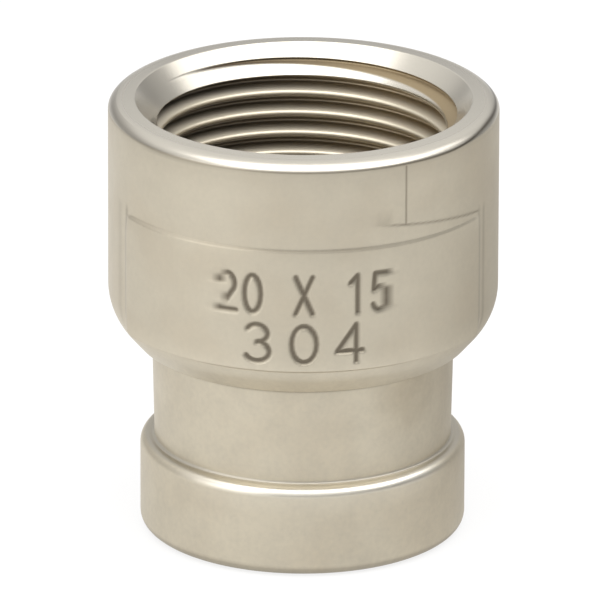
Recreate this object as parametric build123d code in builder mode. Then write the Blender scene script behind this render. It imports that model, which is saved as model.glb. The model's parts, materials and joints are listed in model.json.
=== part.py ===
"""Reducing coupling for threaded pipe, cast in one piece.

A large socket stands on a short neck that ends in a small socket with a band round its mouth.
Millimetres, +Z up the bores' common axis, origin at the centre of the ring face that it stands
on, -Y towards the marking pad.
"""

from build123d import *
from math import cos, radians, sin, tan
import os

# Large socket
large_diameter = 33.0
large_socket_length = 21.2
large_bore_diameter = 24.117
large_bore_depth = 17.1
large_mouth_diameter = 28.4

# Rim of the large socket: rounded over, down to a crisp edge at the side
rim_rounding = 1.6
rim_edge_slope = 58.8

# Shoulder under the large socket: from the neck out, a nearly level ledge takes up its share of the
# step, and a slope, rounded into the side, the rest
shoulder_ledge_share = 0.355
shoulder_ledge_rise = 0.4
shoulder_slope = 49.0
shoulder_fillet = 5.5

# Neck, a little wider at its top so that it leaves the mould
neck_top_diameter = 25.56
neck_foot_diameter = 25.16
neck_length = 8.48

# Small socket, with a band round its mouth
band_diameter = 27.56
band_height = 7.92
band_top_chamfer = 0.54
band_foot_chamfer = 0.6
small_bore_diameter = 18.631
small_mouth_diameter = 22.0

# Bevel in each mouth, and the cone that joins the two bores, as angles from the axis
mouth_angle = 45.0
cone_angle = 45.0

# Marking pad, raised on the front of the large socket
pad_width = 30.2
pad_height = 11.2
pad_below_rim = 7.6
pad_rise = 0.12
pad_corner_radius = 0.8

# Outside heights, stacked up from the foot
neck_top_z = band_height + neck_length
socket_foot_z = neck_top_z + shoulder_ledge_rise
length = socket_foot_z + large_socket_length

# Outside radii. The rim's arc leaves the flat face level and reaches its slope at the side
band_radius = band_diameter / 2
large_radius = large_diameter / 2
rim_flat_radius = large_radius - rim_rounding * sin(radians(rim_edge_slope))
rim_edge_z = length - rim_rounding * (1 - cos(radians(rim_edge_slope)))
neck_top_radius = neck_top_diameter / 2
ledge_radius = neck_top_radius + shoulder_ledge_share * (large_radius - neck_top_radius)
pad_radius = large_radius + pad_rise

# Slope of the shoulder. Its fillet is no larger than the slope has room for
slope_width = large_radius - ledge_radius
shoulder_corner_z = socket_foot_z + slope_width * tan(radians(shoulder_slope))
slope_length = slope_width / cos(radians(shoulder_slope))
largest_fillet = 0.9 * slope_length / tan(radians((90 - shoulder_slope) / 2))

# Inside radii and heights
large_bore_radius = large_bore_diameter / 2
large_mouth_radius = large_mouth_diameter / 2
small_bore_radius = small_bore_diameter / 2
small_mouth_radius = small_mouth_diameter / 2
large_bevel_depth = (large_mouth_radius - large_bore_radius) / tan(radians(mouth_angle))
small_bevel_depth = (small_mouth_radius - small_bore_radius) / tan(radians(mouth_angle))
cone_length = (large_bore_radius - small_bore_radius) / tan(radians(cone_angle))
cone_top_z = length - large_bore_depth

with BuildPart() as coupling_body:
    # Marking pad: a rounded rectangle seen from the front, its face curved just proud of the socket
    with BuildSketch(Plane.XZ) as pad_outline:
        with Locations((0, length - pad_below_rim - pad_height / 2)):
            RectangleRounded(pad_width, pad_height, pad_corner_radius)
    extrude(amount=pad_radius)
    with BuildSketch() as pad_face:
        Circle(pad_radius)
    extrude(amount=length, mode=Mode.INTERSECT)

    # Outside of the casting, turned solid: band, neck, shoulder, large socket and rim
    with BuildSketch(Plane.XZ) as casting_profile:
        with BuildLine():
            small_end = Polyline(
                (0, 0),
                (band_radius - band_foot_chamfer, 0),
                (band_radius, band_foot_chamfer),
                (band_radius, band_height - band_top_chamfer),
                (band_radius - band_top_chamfer, band_height),
                (neck_foot_diameter / 2, band_height),
                (neck_top_radius, neck_top_z),
                (ledge_radius, socket_foot_z),
            )
            shoulder = FilletPolyline(
                small_end @ 1,
                (large_radius, shoulder_corner_z),
                (large_radius, rim_edge_z),
                radius=min(shoulder_fillet, largest_fillet),
            )
            rim = RadiusArc(shoulder @ 1, (rim_flat_radius, length), -rim_rounding)
            Polyline(rim @ 1, (0, length), (0, 0))
        make_face()
    revolve(axis=Axis.Z)

    # Way through: a bevel in each mouth, a bore for each thread, and the cone between them
    with BuildSketch(Plane.XZ) as bore_profile:
        with BuildLine():
            Polyline(
                (0, 0),
                (small_mouth_radius, 0),
                (small_bore_radius, small_bevel_depth),
                (small_bore_radius, cone_top_z - cone_length),
                (large_bore_radius, cone_top_z),
                (large_bore_radius, length - large_bevel_depth),
                (large_mouth_radius, length),
                (0, length),
                close=True,
            )
        make_face()
    revolve(axis=Axis.Z, mode=Mode.SUBTRACT)

coupling_body.part.label = "coupling_body"

os.makedirs("parts", exist_ok=True)
export_step(coupling_body.part, "parts/coupling_body.step")
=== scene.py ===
"""A reducing coupling for threaded pipe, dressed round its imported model.

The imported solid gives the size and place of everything. It is replaced by one closed surface with
the same form, which adds the two pipe threads, the small roundings and the size marks.
"""

import json
from math import cos, pi, radians, sin, tan

import bmesh
import bpy
import numpy as np
from mathutils import Matrix, Vector


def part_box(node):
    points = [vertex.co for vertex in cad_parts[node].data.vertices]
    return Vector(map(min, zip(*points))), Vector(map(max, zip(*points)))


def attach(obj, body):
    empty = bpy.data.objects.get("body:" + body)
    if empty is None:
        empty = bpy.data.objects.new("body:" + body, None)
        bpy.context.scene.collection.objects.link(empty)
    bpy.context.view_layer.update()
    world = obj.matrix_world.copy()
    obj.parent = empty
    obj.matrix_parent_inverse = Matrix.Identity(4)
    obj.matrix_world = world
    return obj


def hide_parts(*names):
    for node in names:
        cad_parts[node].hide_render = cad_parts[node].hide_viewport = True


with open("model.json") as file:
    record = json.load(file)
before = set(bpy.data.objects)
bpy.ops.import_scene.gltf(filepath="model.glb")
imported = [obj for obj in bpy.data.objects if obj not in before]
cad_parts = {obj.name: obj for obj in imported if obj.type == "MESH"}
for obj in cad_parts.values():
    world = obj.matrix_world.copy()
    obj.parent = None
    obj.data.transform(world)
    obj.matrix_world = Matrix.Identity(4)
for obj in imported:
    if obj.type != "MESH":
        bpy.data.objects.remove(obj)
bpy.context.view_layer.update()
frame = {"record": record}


# COUPLING BODY, OUTSIDE
# One stainless steel investment casting, blasted satin all over: a banded small socket, a short
# neck, a rounded shoulder and a large socket with a soft rim. Lengths are in millimetres, as
# (distance from the axis, height) where they come in pairs.

mm = 0.001
body_low, body_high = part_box("coupling_body")
length = body_high.z / mm
large_radius = body_high.x / mm
pad_radius = -body_low.y / mm

band_radius = 13.78
band_height = 7.92
band_rounding = 0.84
foot_rounding = 1.0
foot_ring_radius = 12.4
neck_foot_radius = 12.58
neck_top_radius = 12.78
neck_top_height = 16.4
neck_foot_fillet = 0.25
neck_top_fillet = 0.4
ledge_radius = 14.1
ledge_height = 16.8
ledge_rounding = 0.4
shoulder_slope = 49.0
shoulder_fillet = 5.5

# The rim is turned: an arc from a crisp edge at the side up to a face that slopes a little outwards
rim_rounding = 1.42
rim_slope = 58.8
rim_face_slope = 4.5
rim_drop = 0.77
rim_edge_rounding = 0.5

# The crisp edge's own rounding takes the place of this many steps of the rim's arc
rim_edge_steps = 5

# Length of the flat run that is kept beside each arc
hold = 0.05


def rounded_line(corners, roundings, steps):
    """A line through the corners with each inner corner rounded.

    An arc of radius R that touches both runs starts R * tan(turn / 2) before its corner and ends as
    far behind it. A point a short way from each end of the arc keeps the runs flat when shaded.
    """
    corners = [np.array(c, float) for c in corners]
    points = [corners[0]]
    for before, corner, after, radius, count in zip(corners, corners[1:], corners[2:], roundings, steps):
        into = (corner - before) / np.linalg.norm(corner - before)
        out = (after - corner) / np.linalg.norm(after - corner)
        turn = np.arctan2(into[0] * out[1] - into[1] * out[0], into @ out)
        reach = radius * tan(abs(turn) / 2)
        side = np.sign(turn) * np.array([-into[1], into[0]])
        centre = corner - reach * into + radius * side
        angles = np.linspace(0, abs(turn), count + 1)[:, None]
        arc = centre + radius * (np.sin(angles) * into - np.cos(angles) * side)
        points += [corner - (reach + hold) * into, *arc, corner + (reach + hold) * out]
    points.append(corners[-1])
    return np.array(points)


shoulder_corner_height = ledge_height + (large_radius - ledge_radius) * tan(radians(shoulder_slope))
rim_edge_height = length - rim_drop
rim_angles = np.radians(np.linspace(rim_slope, rim_face_slope, 19))
rim_arc = np.stack([
    large_radius + rim_rounding * (np.sin(rim_angles) - np.sin(rim_angles[0])),
    rim_edge_height + rim_rounding * (np.cos(rim_angles) - np.cos(rim_angles[0])),
], axis=1)

side_line = rounded_line(
    [
        (foot_ring_radius, 0),
        (band_radius, 0),
        (band_radius, band_height),
        (neck_foot_radius, band_height),
        (neck_top_radius, neck_top_height),
        (ledge_radius, ledge_height),
        (large_radius, shoulder_corner_height),
        (large_radius, rim_edge_height),
        tuple(rim_arc[rim_edge_steps]),
    ],
    [foot_rounding, band_rounding, neck_foot_fillet, neck_top_fillet, ledge_rounding, shoulder_fillet,
     rim_edge_rounding],
    [8, 10, 5, 6, 5, 24, 6],
)
outside_line = np.concatenate([side_line, rim_arc[rim_edge_steps + 1:]])


# MARKING PAD AND SIZE MARKS
# A patch on the front of the large socket stands a hair proud of it, where the wax pattern was
# marked: its edges are soft steps, and plain numerals of the two nominal bores in millimetres and
# of the steel's grade are pressed into it. The angle round the axis is zero at the front and grows
# towards +X.

pad_half_width = 15.1
pad_foot_height = 19.2
pad_top_height = 30.4
pad_corner = 0.8
pad_edge = 0.4
pad_left_lift = 0.12
pad_reach = radians(80)

mark_height = 3.25
mark_depth = 0.17
mark_half_stroke = 0.36
mark_half_floor = 0.06
mark_reach = radians(34)
mark_top_height = 28.8
upper_mark_foot = 24.7
upper_mark_width = 1.55
upper_mark_pitch = 2.2
lower_mark_foot = 20.35
lower_mark_width = 2.3
lower_mark_pitch = 3.9
mark_centre = 0.1

seam_angle = radians(31.4)
seam_turn_height = 31.8
seam_end_angle = radians(65)
seam_end_height = 30.55
seam_depth = 0.045
seam_half_width = 0.15
# How much darker the seam line is drawn
seam_darkness = 0.65

# Lines of painted shade, partly dirt, in the creases at the pad's ends, as (place across the front, half
# width, share)
end_lines = [(-14.92, 0.1, 0.42), (-15.5, 0.16, 0.16), (14.84, 0.09, 0.3), (15.24, 0.09, 0.3)]


def bend(centre_x, centre_y, half_width, half_height, start, end):
    """Points round an ellipse from one angle to the other, in degrees counter-clockwise from +X."""
    angles = np.radians(np.linspace(start, end, 19))
    return [(centre_x + half_width * cos(a), centre_y + half_height * sin(a)) for a in angles]


# Each numeral is a list of strokes in a box one wide and one high
numerals = {
    "0": [bend(0.5, 0.5, 0.46, 0.5, 0, 360)],
    "1": [[(0.2, 0.8), (0.6, 1), (0.6, 0)]],
    "2": [bend(0.48, 0.72, 0.42, 0.28, 170, -30) + [(0.04, 0), (0.98, 0)]],
    "3": [bend(0.45, 0.76, 0.4, 0.24, 150, -90) + bend(0.45, 0.27, 0.46, 0.27, 80, -150)],
    "4": [[(0.74, 0), (0.74, 1), (0.02, 0.28), (0.98, 0.28)]],
    "5": [[(0.9, 1), (0.18, 1), (0.1, 0.56)] + bend(0.46, 0.32, 0.46, 0.32, 130, -150)],
    "X": [[(0.04, 1), (0.96, 0)], [(0.96, 1), (0.04, 0)]],
}


def stroke_runs(text, foot, width, spacing):
    """The straight runs of a line of numerals centred on the pad, as (x, z, x, z) along the surface."""
    runs = []
    for place, sign in enumerate(text):
        left = mark_centre + (place - (len(text) - 1) / 2) * spacing - width / 2
        for stroke in numerals.get(sign, []):
            path = np.array([(left + width * x, foot + mark_height * y) for x, y in stroke])
            runs.append(np.hstack([path[:-1], path[1:]]))
    return np.concatenate(runs)


def distance_to_runs(x, z, runs):
    """The least distance from each point to any run: its foot on a run's line is held to the run."""
    start = runs[:, :2]
    run = runs[:, 2:] - start
    offset = np.stack([x, z], axis=-1)[..., None, :] - start
    share = np.clip((offset * run).sum(-1) / (run ** 2).sum(-1), 0, 1)
    return np.linalg.norm(offset - share[..., None] * run, axis=-1).min(-1)


def smooth_step(low, high, value):
    """0 below low and 1 above high, with 3 t^2 - 2 t^3 between them."""
    t = np.clip((value - low) / (high - low), 0, 1)
    return t * t * (3 - 2 * t)


def bell(distance, half_width):
    """1 on a line, falling off on both sides as exp(-(distance / half width)^2)."""
    return np.exp(-(distance / half_width) ** 2)


def pad_move(radius, angle, height):
    """How far the pad moves the surface out, up to its own radius.

    The distance past the pad's outline is that to a rectangle one corner radius smaller all round,
    less the corner radius, and the pad rises over a smooth step inside it. It stands a little
    further out on the left.
    """
    over_x = np.abs(pad_radius * np.sin(angle)) - (pad_half_width - pad_corner)
    over_z = np.abs(height - (pad_top_height + pad_foot_height) / 2)
    over_z = over_z - ((pad_top_height - pad_foot_height) / 2 - pad_corner)
    past = np.hypot(np.maximum(over_x, 0), np.maximum(over_z, 0)) + np.minimum(np.maximum(over_x, over_z), 0)
    inside = smooth_step(0, pad_edge, pad_corner - past) * (np.abs(angle) < pad_reach)
    rise = pad_radius - large_radius + pad_left_lift * smooth_step(0.35, 0.95, -angle)
    return inside * np.maximum(large_radius + rise - radius, 0)


def mark_share(angle, height):
    """1 on the floor of a numeral's stroke, falling smoothly to 0 at half a stroke from its middle."""
    runs = np.concatenate([
        stroke_runs("20 X 15", upper_mark_foot, upper_mark_width, upper_mark_pitch),
        stroke_runs("304", lower_mark_foot, lower_mark_width, lower_mark_pitch),
    ])
    near = (np.abs(angle) < mark_reach) & (height > lower_mark_foot - 0.5) & (height < mark_top_height)
    share = np.zeros_like(height)
    away = distance_to_runs(pad_radius * angle[near], height[near], runs)
    share[near] = 1 - smooth_step(mark_half_floor, mark_half_stroke, away)
    return share


def seam_share(radius, angle, height):
    """1 on the mould's seam, a fine line down from the rim that turns and slopes along to the pad."""
    down = 1 - smooth_step(0, seam_half_width, np.abs(radius * (angle - seam_angle)))
    down = down * smooth_step(seam_turn_height - 0.1, seam_turn_height + 0.1, height)
    slope = (seam_end_height - seam_turn_height) / (seam_end_angle - seam_angle)
    line_height = seam_turn_height + slope * (angle - seam_angle)
    sloping = 1 - smooth_step(0, seam_half_width, np.abs(height - line_height))
    sloping = sloping * smooth_step(0.3, seam_angle, angle)
    sloping = sloping * (1 - smooth_step(seam_end_angle - 0.05, seam_end_angle, angle))
    return np.maximum(down * (height < rim_edge_height - 0.2), sloping)


def dirt_and_painted_shade(angle, height):
    """Share of painted shade, partly dirt, in the creases beside the pad's ends and on its top edge, and of
    painted shade in the crease under the shoulder and round the foot.
    """
    x = pad_radius * np.sin(angle)
    beside = sum(share * bell(x - place, half_width) for place, half_width, share in end_lines)
    beside = beside * smooth_step(pad_foot_height, pad_foot_height + 1.3, height)
    beside = beside * (1 - smooth_step(pad_top_height, pad_top_height + 0.9, height))
    on_top = 0.42 * bell(height - pad_top_height + 0.15, 0.12)
    on_top = on_top * (1 - smooth_step(3, 11, x)) * (1 - smooth_step(7, 13.5, -x))
    round_body = 0.5 * bell(height - neck_top_height, 0.2) + 0.4 * (1 - smooth_step(0.55, 0.95, height))
    return np.maximum(np.maximum(beside, on_top) * (np.abs(angle) < pad_reach), round_body)


# PIPE THREADS
# Both sockets are tapped right-handed with the parallel pipe thread of 14 turns to the inch: a 55
# degree groove, rounded at crest and root. Each mouth has a bevel that the first turn runs out
# through, and the last turns fade where the tap stopped.

pitch = 25.4 / 14
flank_angle = radians(27.5)
root_rounding = 0.15
crest_rounding = 0.3
crest_reach = crest_rounding * cos(flank_angle)
root_reach = root_rounding * cos(flank_angle)
crest_height_at_back = 34.02
fade_turns = 2

mounts = {mount["name"]: mount for mount in frame["record"]["mounts"]}
large_crest = mounts["large_thread"]["dims"]["r_mm"]
large_thread_foot = 20.9
large_fine_foot = 35.3
large_bevel_foot = 35.65
large_mouth_radius = 14.25
lip_rounding = 0.15

small_crest = mounts["small_thread"]["dims"]["r_mm"]
small_thread_top = large_thread_foot - (large_crest - small_crest)
small_fine_top = 1.95
small_mouth_radius = 11.0
small_lip_rounding = 0.2

bevel_rounding = 0.2
edge_softness = 0.06

# The cone between the threads is at 45 degrees, and each thread ends where its rounding starts
cone_rounding = 0.05
cone_hold = hold + cone_rounding * tan(radians(22.5))
large_thread_end = large_thread_foot + cone_hold
small_thread_end = small_thread_top - cone_hold


def above_crest(height, angle):
    """Distance up the axis from the nearest crest, which climbs one pitch in a turn."""
    turns = (height - crest_height_at_back) / pitch - (angle + pi) / (2 * pi)
    return ((turns + 0.5) % 1 - 0.5) * pitch


def groove_depth(height, angle):
    """Depth of the groove below its crests.

    u is the distance along the axis from the nearest crest. Depth is R - sqrt(R^2 - u^2) over the
    rounded crest, grows by 1 / tan(27.5 degrees) on the flank, and mirrors that at the root.
    """
    u = np.abs(above_crest(height, angle))
    crest = crest_rounding - np.sqrt(crest_rounding ** 2 - np.minimum(u, crest_reach) ** 2)
    flank = np.clip(u - crest_reach, 0, pitch / 2 - crest_reach - root_reach) / tan(flank_angle)
    from_root = np.clip(pitch / 2 - u, 0, root_reach)
    root = np.sqrt(root_rounding ** 2 - from_root ** 2) - root_rounding * sin(flank_angle)
    return crest + flank + np.where(u > pitch / 2 - root_reach, root, 0)


def crest_highlight(height, angle):
    """Share of a painted highlight: 1 on the upper side of each crest, falling to 0 round it."""
    above = above_crest(height, angle)
    return smooth_step(-0.08, 0.06, above) * (1 - smooth_step(0.24, 0.38, above))


def soft_max(a, b, width):
    """The larger of two values, with the change from one to the other rounded over a width."""
    share = np.clip(0.5 + 0.5 * (a - b) / width, 0, 1)
    return b + (a - b) * share + width * share * (1 - share)


def helix_rows(low, high, angles):
    """Heights of rows that follow the thread: each turn has the same places on crest, flank and root.

    Rows climb one pitch in a turn, start a pitch under the low end, and are held between both ends,
    where they close up into the ring there.
    """
    half_turn = [0, 0.4 * crest_reach, 0.75 * crest_reach, crest_reach,
                 pitch / 2 - root_reach - hold, pitch / 2 - root_reach]
    places = np.array(half_turn + [pitch / 2] + [pitch - u for u in half_turn[:0:-1]])
    first = np.floor((low - crest_height_at_back) / pitch) - 2
    last = np.ceil((high - crest_height_at_back) / pitch) + 2
    starts = crest_height_at_back + pitch * np.arange(first, last)
    start_heights = (starts[:, None] + places).ravel()[:, None]
    rows = np.clip(start_heights + pitch * (angles + pi) / (2 * pi), low, high)
    moving = (rows.max(1) > low) & (rows.min(1) < high)
    return rows[moving][::-1]


mouth_line = rounded_line(
    [
        tuple(rim_arc[-1]),
        (large_mouth_radius, length),
        (large_crest, large_bevel_foot),
        (large_crest, large_fine_foot),
    ],
    [lip_rounding, bevel_rounding],
    [8, 4],
)
cone_line = rounded_line(
    [
        (large_crest, large_thread_end),
        (large_crest, large_thread_foot),
        (small_crest, small_thread_top),
        (small_crest, small_thread_end),
    ],
    [cone_rounding, cone_rounding],
    [3, 3],
)
small_mouth_line = rounded_line(
    [
        (small_crest, small_fine_top),
        (small_crest, small_mouth_radius - small_crest),
        (small_mouth_radius, 0),
        (small_mouth_radius + 0.6, 0),
    ],
    [bevel_rounding, small_lip_rounding],
    [4, 4],
)


# COUPLING BODY, AS ONE MESH
# The casting is one piece, so its surface is one grid. Rows run up the outside, over the rim, down
# through both threads and back under the foot. Columns run round the axis, closer where the marks
# are; on the inside and at the back the extra ones close up onto their neighbours.

cast_roughness = 0.45
rim_roughness = 0.3
band_highlight_roughness = 0.3
bevel_roughness = 0.27
thread_roughness = 0.46

column_step = radians(2.5)
fine_reach = radians(78)
row_step = 1.6
mark_row_step = 0.15
edge_row_step = 0.07
seam_row_step = 0.1
mouth_row_step = 0.05
small_mouth_row_step = 0.09
merge_distance = 0.002


def column_angles(first, last, parts):
    """Angles from one whole column to another, with each step between them cut into equal parts."""
    return np.arange(first * parts, last * parts + 1) * column_step / parts


columns = np.unique(np.round(np.concatenate([
    column_angles(-72, 72, 1),
    column_angles(-9, 9, 5),
    column_angles(12, 13, 10),
    column_angles(24, 29, 4),
    column_angles(-29, -24, 4),
]), 9))
inner_columns = np.floor(columns / column_step + 1e-6) * column_step


def distance_along(line):
    """The distance along a line of points from its first one to each."""
    return np.concatenate([[0], np.cumsum(np.linalg.norm(np.diff(line, axis=0), axis=1))])


def places_between(low, high, step):
    """Places along the outside line between two heights on the socket's side, a step apart."""
    radius, height = outside_line.T
    socket = (radius > neck_top_radius) & (height > neck_top_height) & (height < length - 0.8)
    ends = np.interp([low, high], height[socket], distance_along(outside_line)[socket])
    return np.arange(ends[0], ends[1], step)


line_places = distance_along(outside_line)
even_places = np.arange(0, line_places[-1], row_step)
coarse = np.unique(np.round(np.concatenate([line_places, even_places]), 4))
fine = np.unique(np.round(np.concatenate([
    coarse,
    places_between(pad_foot_height - 0.1, pad_foot_height + pad_edge, edge_row_step),
    places_between(pad_foot_height + pad_edge, mark_top_height - 0.3, mark_row_step),
    places_between(pad_top_height - pad_edge, pad_top_height + 0.1, edge_row_step),
    places_between(pad_top_height + 0.1, seam_turn_height + 0.3, seam_row_step),
]), 4))
held_back = coarse[np.searchsorted(coarse, fine + 1e-6) - 1]
at_front = np.abs(columns) < fine_reach
places = np.where(at_front, fine[:, None], held_back[:, None])
outside_radius = np.interp(places, line_places, outside_line[:, 0])
outside_height = np.interp(places, line_places, outside_line[:, 1])
on_socket = (outside_height > pad_foot_height - 0.6) & (outside_height < rim_edge_height - 0.1)
outside_angle = np.where(on_socket, columns, inner_columns)

marks = mark_share(outside_angle, outside_height)
seam = seam_share(outside_radius, outside_angle, outside_height)
move = pad_move(outside_radius, outside_angle, outside_height) - mark_depth * marks - seam_depth * seam
# Darker inside the numerals and along the seam, with painted shade, partly dirt, in the creases
dirt_and_shade = np.maximum(np.maximum(marks, seam_darkness * seam), dirt_and_painted_shade(outside_angle, outside_height))
outside_radius = outside_radius + np.where(outside_height > neck_top_height + 0.5, move, 0)


def tapped_rows(line, step, crest):
    """Rows down a mouth, a step apart, as radius, height and share of groove.

    The radius is the larger of the bevel's and the thread's, with a soft change between them.
    """
    reached = distance_along(line)
    places = np.unique(np.round(np.concatenate([reached, np.arange(0, reached[-1], step)]), 4))[:, None]
    height = np.interp(places, reached, line[:, 1]) + 0 * inner_columns
    bevel = np.interp(places, reached, line[:, 0])
    cut = crest + groove_depth(height, inner_columns)
    depth = smooth_step(0, 0.08, cut - np.maximum(bevel, crest))
    return soft_max(bevel, cut, edge_softness), height, depth


mouth_radius, mouth_height, mouth_groove = tapped_rows(mouth_line, mouth_row_step, large_crest)
small_radius, small_height, small_groove = tapped_rows(small_mouth_line, small_mouth_row_step, small_crest)

large_height = helix_rows(large_thread_end, large_fine_foot, inner_columns)
large_fade = np.clip((large_height - large_thread_end) / (fade_turns * pitch), 0, 1)
large_depth = large_fade * groove_depth(large_height, inner_columns)
top_height = helix_rows(small_fine_top, small_thread_end, inner_columns)
top_fade = np.clip((small_thread_end - top_height) / (fade_turns * pitch), 0, 1)
top_depth = top_fade * groove_depth(top_height, inner_columns)
cone_radius = cone_line[1:-1, :1] + 0 * inner_columns
cone_height = cone_line[1:-1, 1:] + 0 * inner_columns


def over_all(outside, mouth, large_thread, cone, small_thread, small_mouth):
    """One grid for the whole surface, from a number or a grid for each part, in the rows' order."""
    parts = [outside, mouth, large_thread, cone, small_thread, small_mouth]
    shapes = [outside_radius, mouth_radius, large_depth, cone_radius, top_depth, small_radius]
    return np.concatenate([part + 0 * shape for part, shape in zip(parts, shapes)])


large_radii = large_crest + large_depth
top_radii = small_crest + top_depth
radius = over_all(outside_radius, mouth_radius, large_radii, cone_radius, top_radii, small_radius)
height = over_all(outside_height, mouth_height, large_height, cone_height, top_height, small_height)
angle = over_all(outside_angle, inner_columns, inner_columns, inner_columns, inner_columns, inner_columns)
points = np.stack([radius * np.sin(angle), -radius * np.cos(angle), height], axis=-1)


# The rim's painted shade, a dark line and the tint under it, keeps above and outside these
rim_line_foot = 30
rim_line_radius = 15.8


def rim_line(radius, angle, height, on_rim):
    """Share of painted shade: a dark line where the turned rim meets the cast side, and a tint under it.

    The line is a bell across the edge, wider on the left, darker on the right and higher on both
    sides. The tint falls off downwards as exp(-depth / 0.5).
    """
    aside = smooth_step(radians(45), radians(75), np.abs(angle))
    to_left = smooth_step(radians(10), radians(55), -angle)
    to_right = smooth_step(radians(10), radians(60), angle)
    from_line = height - (rim_edge_height - 0.06 + 0.42 * aside)
    line = (0.5 - 0.05 * to_left + 0.42 * to_right) * bell(from_line, 0.11 + 0.16 * to_left)
    tint = 0.22 * np.exp(-np.maximum(rim_edge_height - height, 0) / 0.5) * (1 - on_rim)
    return np.maximum(line, tint) * (height > rim_line_foot) * (radius > rim_line_radius)


def band_highlight_share(radius, angle, height):
    """Share of a painted highlight: a bell across the band's upper edge, faded out beyond the front."""
    line = bell(height - band_height + 0.3, 0.42) * (radius > neck_foot_radius + 0.12)
    line = line * smooth_step(radians(-58), radians(-18), angle)
    return line * (1 - smooth_step(radians(42), radians(66), angle))


on_rim = smooth_step(rim_edge_height - 0.05, rim_edge_height + 0.1, outside_height)
# Painted shade: a dark line under the rim's edge and a tint below it
rim_shade = rim_line(outside_radius, outside_angle, outside_height, on_rim)
band_highlight = band_highlight_share(outside_radius, outside_angle, outside_height)
large_crest_highlight = crest_highlight(large_height, inner_columns)
top_crest_highlight = crest_highlight(top_height, inner_columns)
threaded = over_all(0, mouth_groove, 1, 0.5, 1, small_groove)
coarseness = bevel_roughness + threaded * (thread_roughness - bevel_roughness)
coarseness[:len(outside_radius)] = cast_roughness + on_rim * (rim_roughness - cast_roughness)
coarseness[:len(outside_radius)] += band_highlight * (band_highlight_roughness - cast_roughness)

rows, across = radius.shape
row, column = np.meshgrid(np.arange(rows), np.arange(across - 1), indexing="ij")
row_above = (row + 1) % rows
quads = np.stack([
    row * across + column, row * across + column + 1,
    row_above * across + column + 1, row_above * across + column,
], axis=-1).reshape(-1, 4)

body_mesh = bpy.data.meshes.new("coupling")
body_mesh.from_pydata(points.reshape(-1, 3) * mm, [], quads)
for name, values in {
    "turned": over_all(on_rim, 1, 1, 1, 1, 1),
    "marked": over_all(dirt_and_shade, 0, 0, 0, 0, 0),
    "groove": over_all(0, mouth_groove, 0.8 - 0.8 * large_crest_highlight, 0, 0.8 - 0.8 * top_crest_highlight, small_groove),
    "shine": over_all(0, 0, large_crest_highlight, 0, top_crest_highlight, 0),
    "coarseness": coarseness,
    "edge_stain": over_all(rim_shade, 0, 0, 0, 0, 0),
    "edge_wear": over_all(band_highlight, 0, 0, 0, 0, 0),
}.items():
    body_mesh.attributes.new(name, "FLOAT", "POINT").data.foreach_set("value", values.ravel())
closer = bmesh.new()
closer.from_mesh(body_mesh)
bmesh.ops.remove_doubles(closer, verts=closer.verts, dist=merge_distance * mm)
closer.to_mesh(body_mesh)
closer.free()
body_mesh.polygons.foreach_set("use_smooth", np.ones(len(body_mesh.polygons), bool))
coupling = bpy.data.objects.new("coupling", body_mesh)
bpy.context.scene.collection.objects.link(coupling)
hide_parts("coupling_body")
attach(coupling, "root")


# STEEL FINISH
# Stainless steel: the casting is blasted to a fine satin with faint warm patches, and the mouths and
# threads are turned smoother. The numerals and the seam are drawn darker. Painted shade, partly dirt, lies
# in the creases by the pad. Painted shade also lies under the shoulder, at the neck's foot, under the rim's
# edge and over the threads. Painted light lies on the shoulder's underside, and painted highlights on the
# band's edge and the thread's crests. Places in the material are in metres.

cast_colour = (0.575, 0.522, 0.417, 1)
warm_colour = (0.527, 0.455, 0.345, 1)
neck_colour = (0.63, 0.57, 0.45, 1)
shoulder_painted_light_colour = (0.68, 0.62, 0.5, 1)
mottle_colour = (0.46, 0.42, 0.345, 1)
patch_colour = (0.36, 0.29, 0.19, 1)
neck_foot_shade_colour = (0.47, 0.44, 0.38, 1)
band_highlight_colour = (0.86, 0.82, 0.73, 1)
turned_colour = (0.66, 0.62, 0.54, 1)
rim_shade_colour = (0.12, 0.1, 0.075, 1)
darkening_colour = (0.1, 0.08, 0.055, 1)
left_thread_shade_colour = (0.045, 0.028, 0.014, 1)
right_thread_shade_colour = (0.4, 0.31, 0.185, 1)
crest_highlight_colour = (0.78, 0.7, 0.55, 1)
patch_place = (0.0088, -0.0092, 0.0148)


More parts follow.
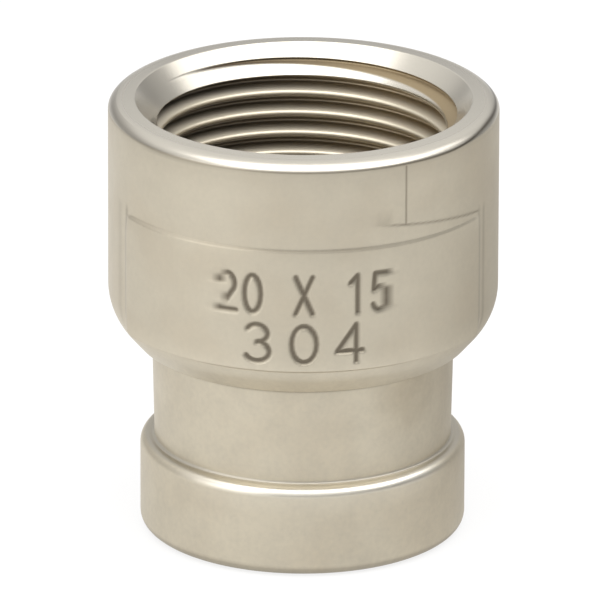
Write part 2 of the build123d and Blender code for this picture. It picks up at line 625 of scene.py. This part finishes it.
class Shade:
    """A socket of a node tree. Arithmetic on it adds Math nodes, and node() adds any other node."""

    def __init__(self, tree, socket=None):
        self.tree = tree
        self.socket = socket

    def node(self, kind, settings=None, inputs=None, output=0):
        """Adds a node: its settings first, then the values or links of its sockets."""
        made = self.tree.nodes.new(kind)
        for name, value in (settings or {}).items():
            setattr(made, name, value)
        for name, value in (inputs or {}).items():
            if isinstance(value, Shade):
                self.tree.links.new(value.socket, made.inputs[name])
            else:
                made.inputs[name].default_value = value
        return Shade(self.tree, made.outputs[output] if len(made.outputs) else None)

    def math(self, operation, *values):
        """Adds a Math node on one or two values."""
        return self.node("ShaderNodeMath", {"operation": operation}, dict(enumerate(values)))

    def __add__(self, other):
        return self.math("ADD", self, other)

    def __radd__(self, other):
        return self.math("ADD", other, self)

    def __sub__(self, other):
        return self.math("SUBTRACT", self, other)

    def __rsub__(self, other):
        return self.math("SUBTRACT", other, self)

    def __mul__(self, other):
        return self.math("MULTIPLY", self, other)

    def __rmul__(self, other):
        return self.math("MULTIPLY", other, self)

    def step(self, low, high):
        """0 below low, 1 above high and smooth between them."""
        return self.node("ShaderNodeMapRange", {"interpolation_type": "SMOOTHSTEP"},
                         {"Value": self, "From Min": low, "From Max": high})

    def axis(self, index):
        """One coordinate of a place: 0 for x, 1 for y and 2 for z."""
        return self.node("ShaderNodeSeparateXYZ", {}, {0: self}, output=index)

    def distance(self, place):
        """The distance from a place."""
        return self.node("ShaderNodeVectorMath", {"operation": "DISTANCE"}, {0: self, 1: place}, output=1)

    def noise(self, scale, detail):
        """Noise at a place, between 0 and 1 and mostly near a half."""
        return self.node("ShaderNodeTexNoise", {}, {
            "Vector": self, "Scale": scale, "Detail": detail, "Roughness": 0.5})

    def mix(self, share, first, second):
        """A colour between two, where share 1 is the second."""
        return self.node("ShaderNodeMix", {"data_type": "RGBA"}, {0: share, 6: first, 7: second}, output=2)

    def attribute(self, name):
        """A value that the mesh carries at its points."""
        return self.node("ShaderNodeAttribute", {"attribute_name": name}, output="Fac")


def empty_material(name):
    """A new material without nodes, and a start for its node tree."""
    made = bpy.data.materials.new(name)
    made.use_nodes = True
    made.node_tree.nodes.clear()
    return made, Shade(made.node_tree)


def steel():
    """Satin cast steel, with turned steel where the mesh says so.

    Each line lays a colour over the one before, by its share: first what the casting has all over,
    then what its places have, and last what the mesh's own values say.
    """
    made, start = empty_material("cast_steel")
    place = start.node("ShaderNodeTexCoord", output="Object")
    turned = start.attribute("turned")
    up = place.axis(2)
    on_neck = 1 - up.step(0.0165, 0.0185)
    # Painted light: the shoulder's underside, which faces down, is given a lighter colour
    shoulder_painted_light = up.step(0.0162, 0.0168) * (1 - up.step(0.0185, 0.0215))
    # Painted shade round the neck's foot, where it meets the band's top
    neck_foot_shade = up.step(0.0077, 0.0079) * (1 - up.step(0.008, 0.0083))
    patches = place.noise(130.0, 3.0).step(0.42, 0.66)
    cloud = place.noise(420.0, 4.0)
    speckle = place.noise(2300.0, 2.0)
    grain = place.noise(9000.0, 2.0)
    mottle = (cloud - 0.5) * (0.35 + 0.3 * on_neck) + (speckle - 0.5) * (0.4 + 0.2 * on_neck) + 0.15
    patch = (1 - place.distance(patch_place).step(0.0008, 0.0048)) * (0.35 + 0.9 * (cloud - 0.35))

    colour = start.mix(patches * (0.35 + 0.4 * on_neck), cast_colour, warm_colour)
    colour = start.mix(on_neck * 0.6, colour, neck_colour)
    colour = start.mix(shoulder_painted_light * 0.7, colour, shoulder_painted_light_colour)
    colour = start.mix(mottle, colour, mottle_colour)
    colour = start.mix(patch * 0.6, colour, patch_colour)
    colour = start.mix(neck_foot_shade * 0.8, colour, neck_foot_shade_colour)
    # Painted highlight along the band's upper edge at the front
    colour = start.mix(start.attribute("edge_wear") * 0.95, colour, band_highlight_colour)
    colour = start.mix(turned, colour, turned_colour)
    # Painted shade under the rim's edge
    colour = start.mix(start.attribute("edge_stain"), colour, rim_shade_colour)
    # Darker inside the numerals and along the seam, with painted shade in the creases
    colour = start.mix(start.attribute("marked") * 0.85, colour, darkening_colour)
    # Painted shade over the thread's flanks and roots, darker on the left side of the bore than on the right
    thread_shade_colour = start.mix(place.axis(0).step(-0.01, 0.013), left_thread_shade_colour, right_thread_shade_colour)
    colour = start.mix(start.attribute("groove") * 0.96, colour, thread_shade_colour)
    # Painted highlight on the upper side of the thread's crests
    colour = start.mix(start.attribute("shine") * 0.8, colour, crest_highlight_colour)

    roughness = start.attribute("coarseness") + (cloud - 0.5) * 0.1 * (1 - turned)
    skin = start.node("ShaderNodeBump", {}, {
        "Height": (grain - 0.5) * (1 - turned), "Strength": 0.12, "Distance": 0.00005})
    metal = start.node("ShaderNodeBsdfPrincipled", {}, {
        "Base Color": colour, "Metallic": 1.0, "Roughness": roughness, "Normal": skin})
    start.node("ShaderNodeOutputMaterial", {}, {"Surface": metal})
    return made


body_mesh.materials.append(steel())


# STUDIO
# A plain pale floor a hair under the foot, a wide soft lamp overhead, smaller ones to the right and
# left, and a dim room all round. Lengths are in metres from here on.

floor_half = 4.0
floor_drop = 5e-5
floor_colour = (0.82, 0.82, 0.82, 1)
painted_shadow_spot = (0.062, 0.045, 0)
painted_shadow_colour = (0.42, 0.4, 0.37, 1)


def floor_finish():
    """Pale floor that is white to the eye and in the metal, less the shadow that falls on it.

    The metal sees painted shadow on it: darker at one spot behind the coupling on the right, a little darker
    close round the coupling, and darker again far behind it.
    """
    made, start = empty_material("pale_floor")
    place = start.node("ShaderNodeTexCoord", output="Object")
    glossy = start.node("ShaderNodeLightPath", output="Is Glossy Ray")
    seen = start.node("ShaderNodeLightPath", output="Is Camera Ray")
    seen = seen + start.node("ShaderNodeLightPath", output="Is Transmission Ray") + glossy
    spot = 1 - place.distance(painted_shadow_spot).step(0.03, 0.085)
    near = 1 - place.distance((0, 0, 0)).step(0.026, 0.038)
    dim = glossy * (spot + 0.15 * near + 0.5 * place.axis(1).step(0.25, 0.6))
    shade = start.mix(dim, (1, 1, 1, 1), painted_shadow_colour)
    lit = start.node("ShaderNodeBsdfDiffuse", {}, {"Color": floor_colour})
    white = start.node("ShaderNodeEmission", {}, {"Color": shade, "Strength": 1.05})
    share = start.math("MINIMUM", seen * 0.75, 0.75)
    both = start.node("ShaderNodeMixShader", {}, {0: share, 1: lit, 2: white})
    start.node("ShaderNodeOutputMaterial", {}, {"Surface": both})
    return made


floor_mesh = bpy.data.meshes.new("floor")
floor_corners = [(-1, -1), (1, -1), (1, 1), (-1, 1)]
floor_mesh.from_pydata([(floor_half * x, floor_half * y, -floor_drop) for x, y in floor_corners], [],
                       [(0, 1, 2, 3)])
floor_mesh.materials.append(floor_finish())
floor = bpy.data.objects.new("floor", floor_mesh)
bpy.context.scene.collection.objects.link(floor)

# The room behind is pale at the horizon, darker just above it and paler again higher up. The room
# in front is dim below and bright above. One turns into the other from front to back, and all of it
# is darker to the right.
room = bpy.data.worlds.new("room")
bpy.context.scene.world = room
room.use_nodes = True
room.node_tree.nodes.clear()
toward = Shade(room.node_tree).node("ShaderNodeTexCoord", output="Generated")
rise = toward.axis(2)
behind = 0.85 - 0.42 * rise.step(0.06, 0.17) + 0.36 * rise.step(0.24, 0.36) + 0.15 * rise.step(0.4, 0.6)
ahead = 0.2 + 0.8 * rise.step(0.1, 0.4)
glow = ahead + (behind - ahead) * toward.axis(1).step(-0.3, 0.6)
glow = glow * (1 - 0.45 * toward.axis(0).step(0.25, 0.8))
air = toward.node("ShaderNodeBackground", {}, {"Color": (1, 1, 1, 1), "Strength": glow})
toward.node("ShaderNodeOutputWorld", {}, {"Surface": air})


def soft_lamp(name, place, aim, width, height, brightness):
    """A rectangular lamp whose face has the given brightness, where 1 is a white surface.

    Its power is brightness * pi * width * height.
    """
    light = bpy.data.lights.new(name, "AREA")
    light.shape = "RECTANGLE"
    light.size = width
    light.size_y = height
    light.energy = brightness * pi * width * height
    lamp = bpy.data.objects.new(name, light)
    away = Vector(place) - Vector(aim)
    lamp.matrix_world = Matrix.Translation(place) @ away.to_track_quat("Z", "Y").to_matrix().to_4x4()
    lamp.visible_camera = False
    bpy.context.scene.collection.objects.link(lamp)


soft_lamp("overhead_lamp", (0.175, -0.25, 0.62), (0.175, -0.25, 0), 1.32, 0.63, 1.8)
soft_lamp("right_overhead_lamp", (0.64, 0.19, 0.62), (0.64, 0.19, 0), 0.34, 0.5, 1.8)
soft_lamp("left_lamp", (-0.75, -0.55, 0.3), (0, 0, 0.3), 0.8, 0.6, 1.4)

# The camera looks down on the coupling's middle from the front, through a long lens. Its focal
# length and shifts are measured on the picture, in pixels
body_middle = Vector((0, 0, 0.0185))
camera_distance = 1.2
camera_rise = radians(20.531)
camera_roll = radians(0.198)
picture_pixels = 600
focal_pixels = 14170
shift_x_pixels = -3.01
shift_y_pixels = 14.16
sensor_width = 36
camera_data = bpy.data.cameras.new("camera")
camera_data.sensor_width = sensor_width
camera_data.lens = focal_pixels * sensor_width / picture_pixels
camera_data.shift_x = shift_x_pixels / picture_pixels
camera_data.shift_y = shift_y_pixels / picture_pixels
camera_data.clip_start = 0.05
camera_data.clip_end = 20
camera = bpy.data.objects.new("camera", camera_data)
back = Vector((0, -cos(camera_rise), sin(camera_rise)))
camera.matrix_world = (
    Matrix.Translation(body_middle + camera_distance * back)
    @ back.to_track_quat("Z", "Y").to_matrix().to_4x4()
    @ Matrix.Rotation(camera_roll, 4, "Z")
)
bpy.context.scene.collection.objects.link(camera)
bpy.context.scene.camera = camera
bpy.context.scene.view_settings.view_transform = "Standard"

bpy.context.view_layer.update()
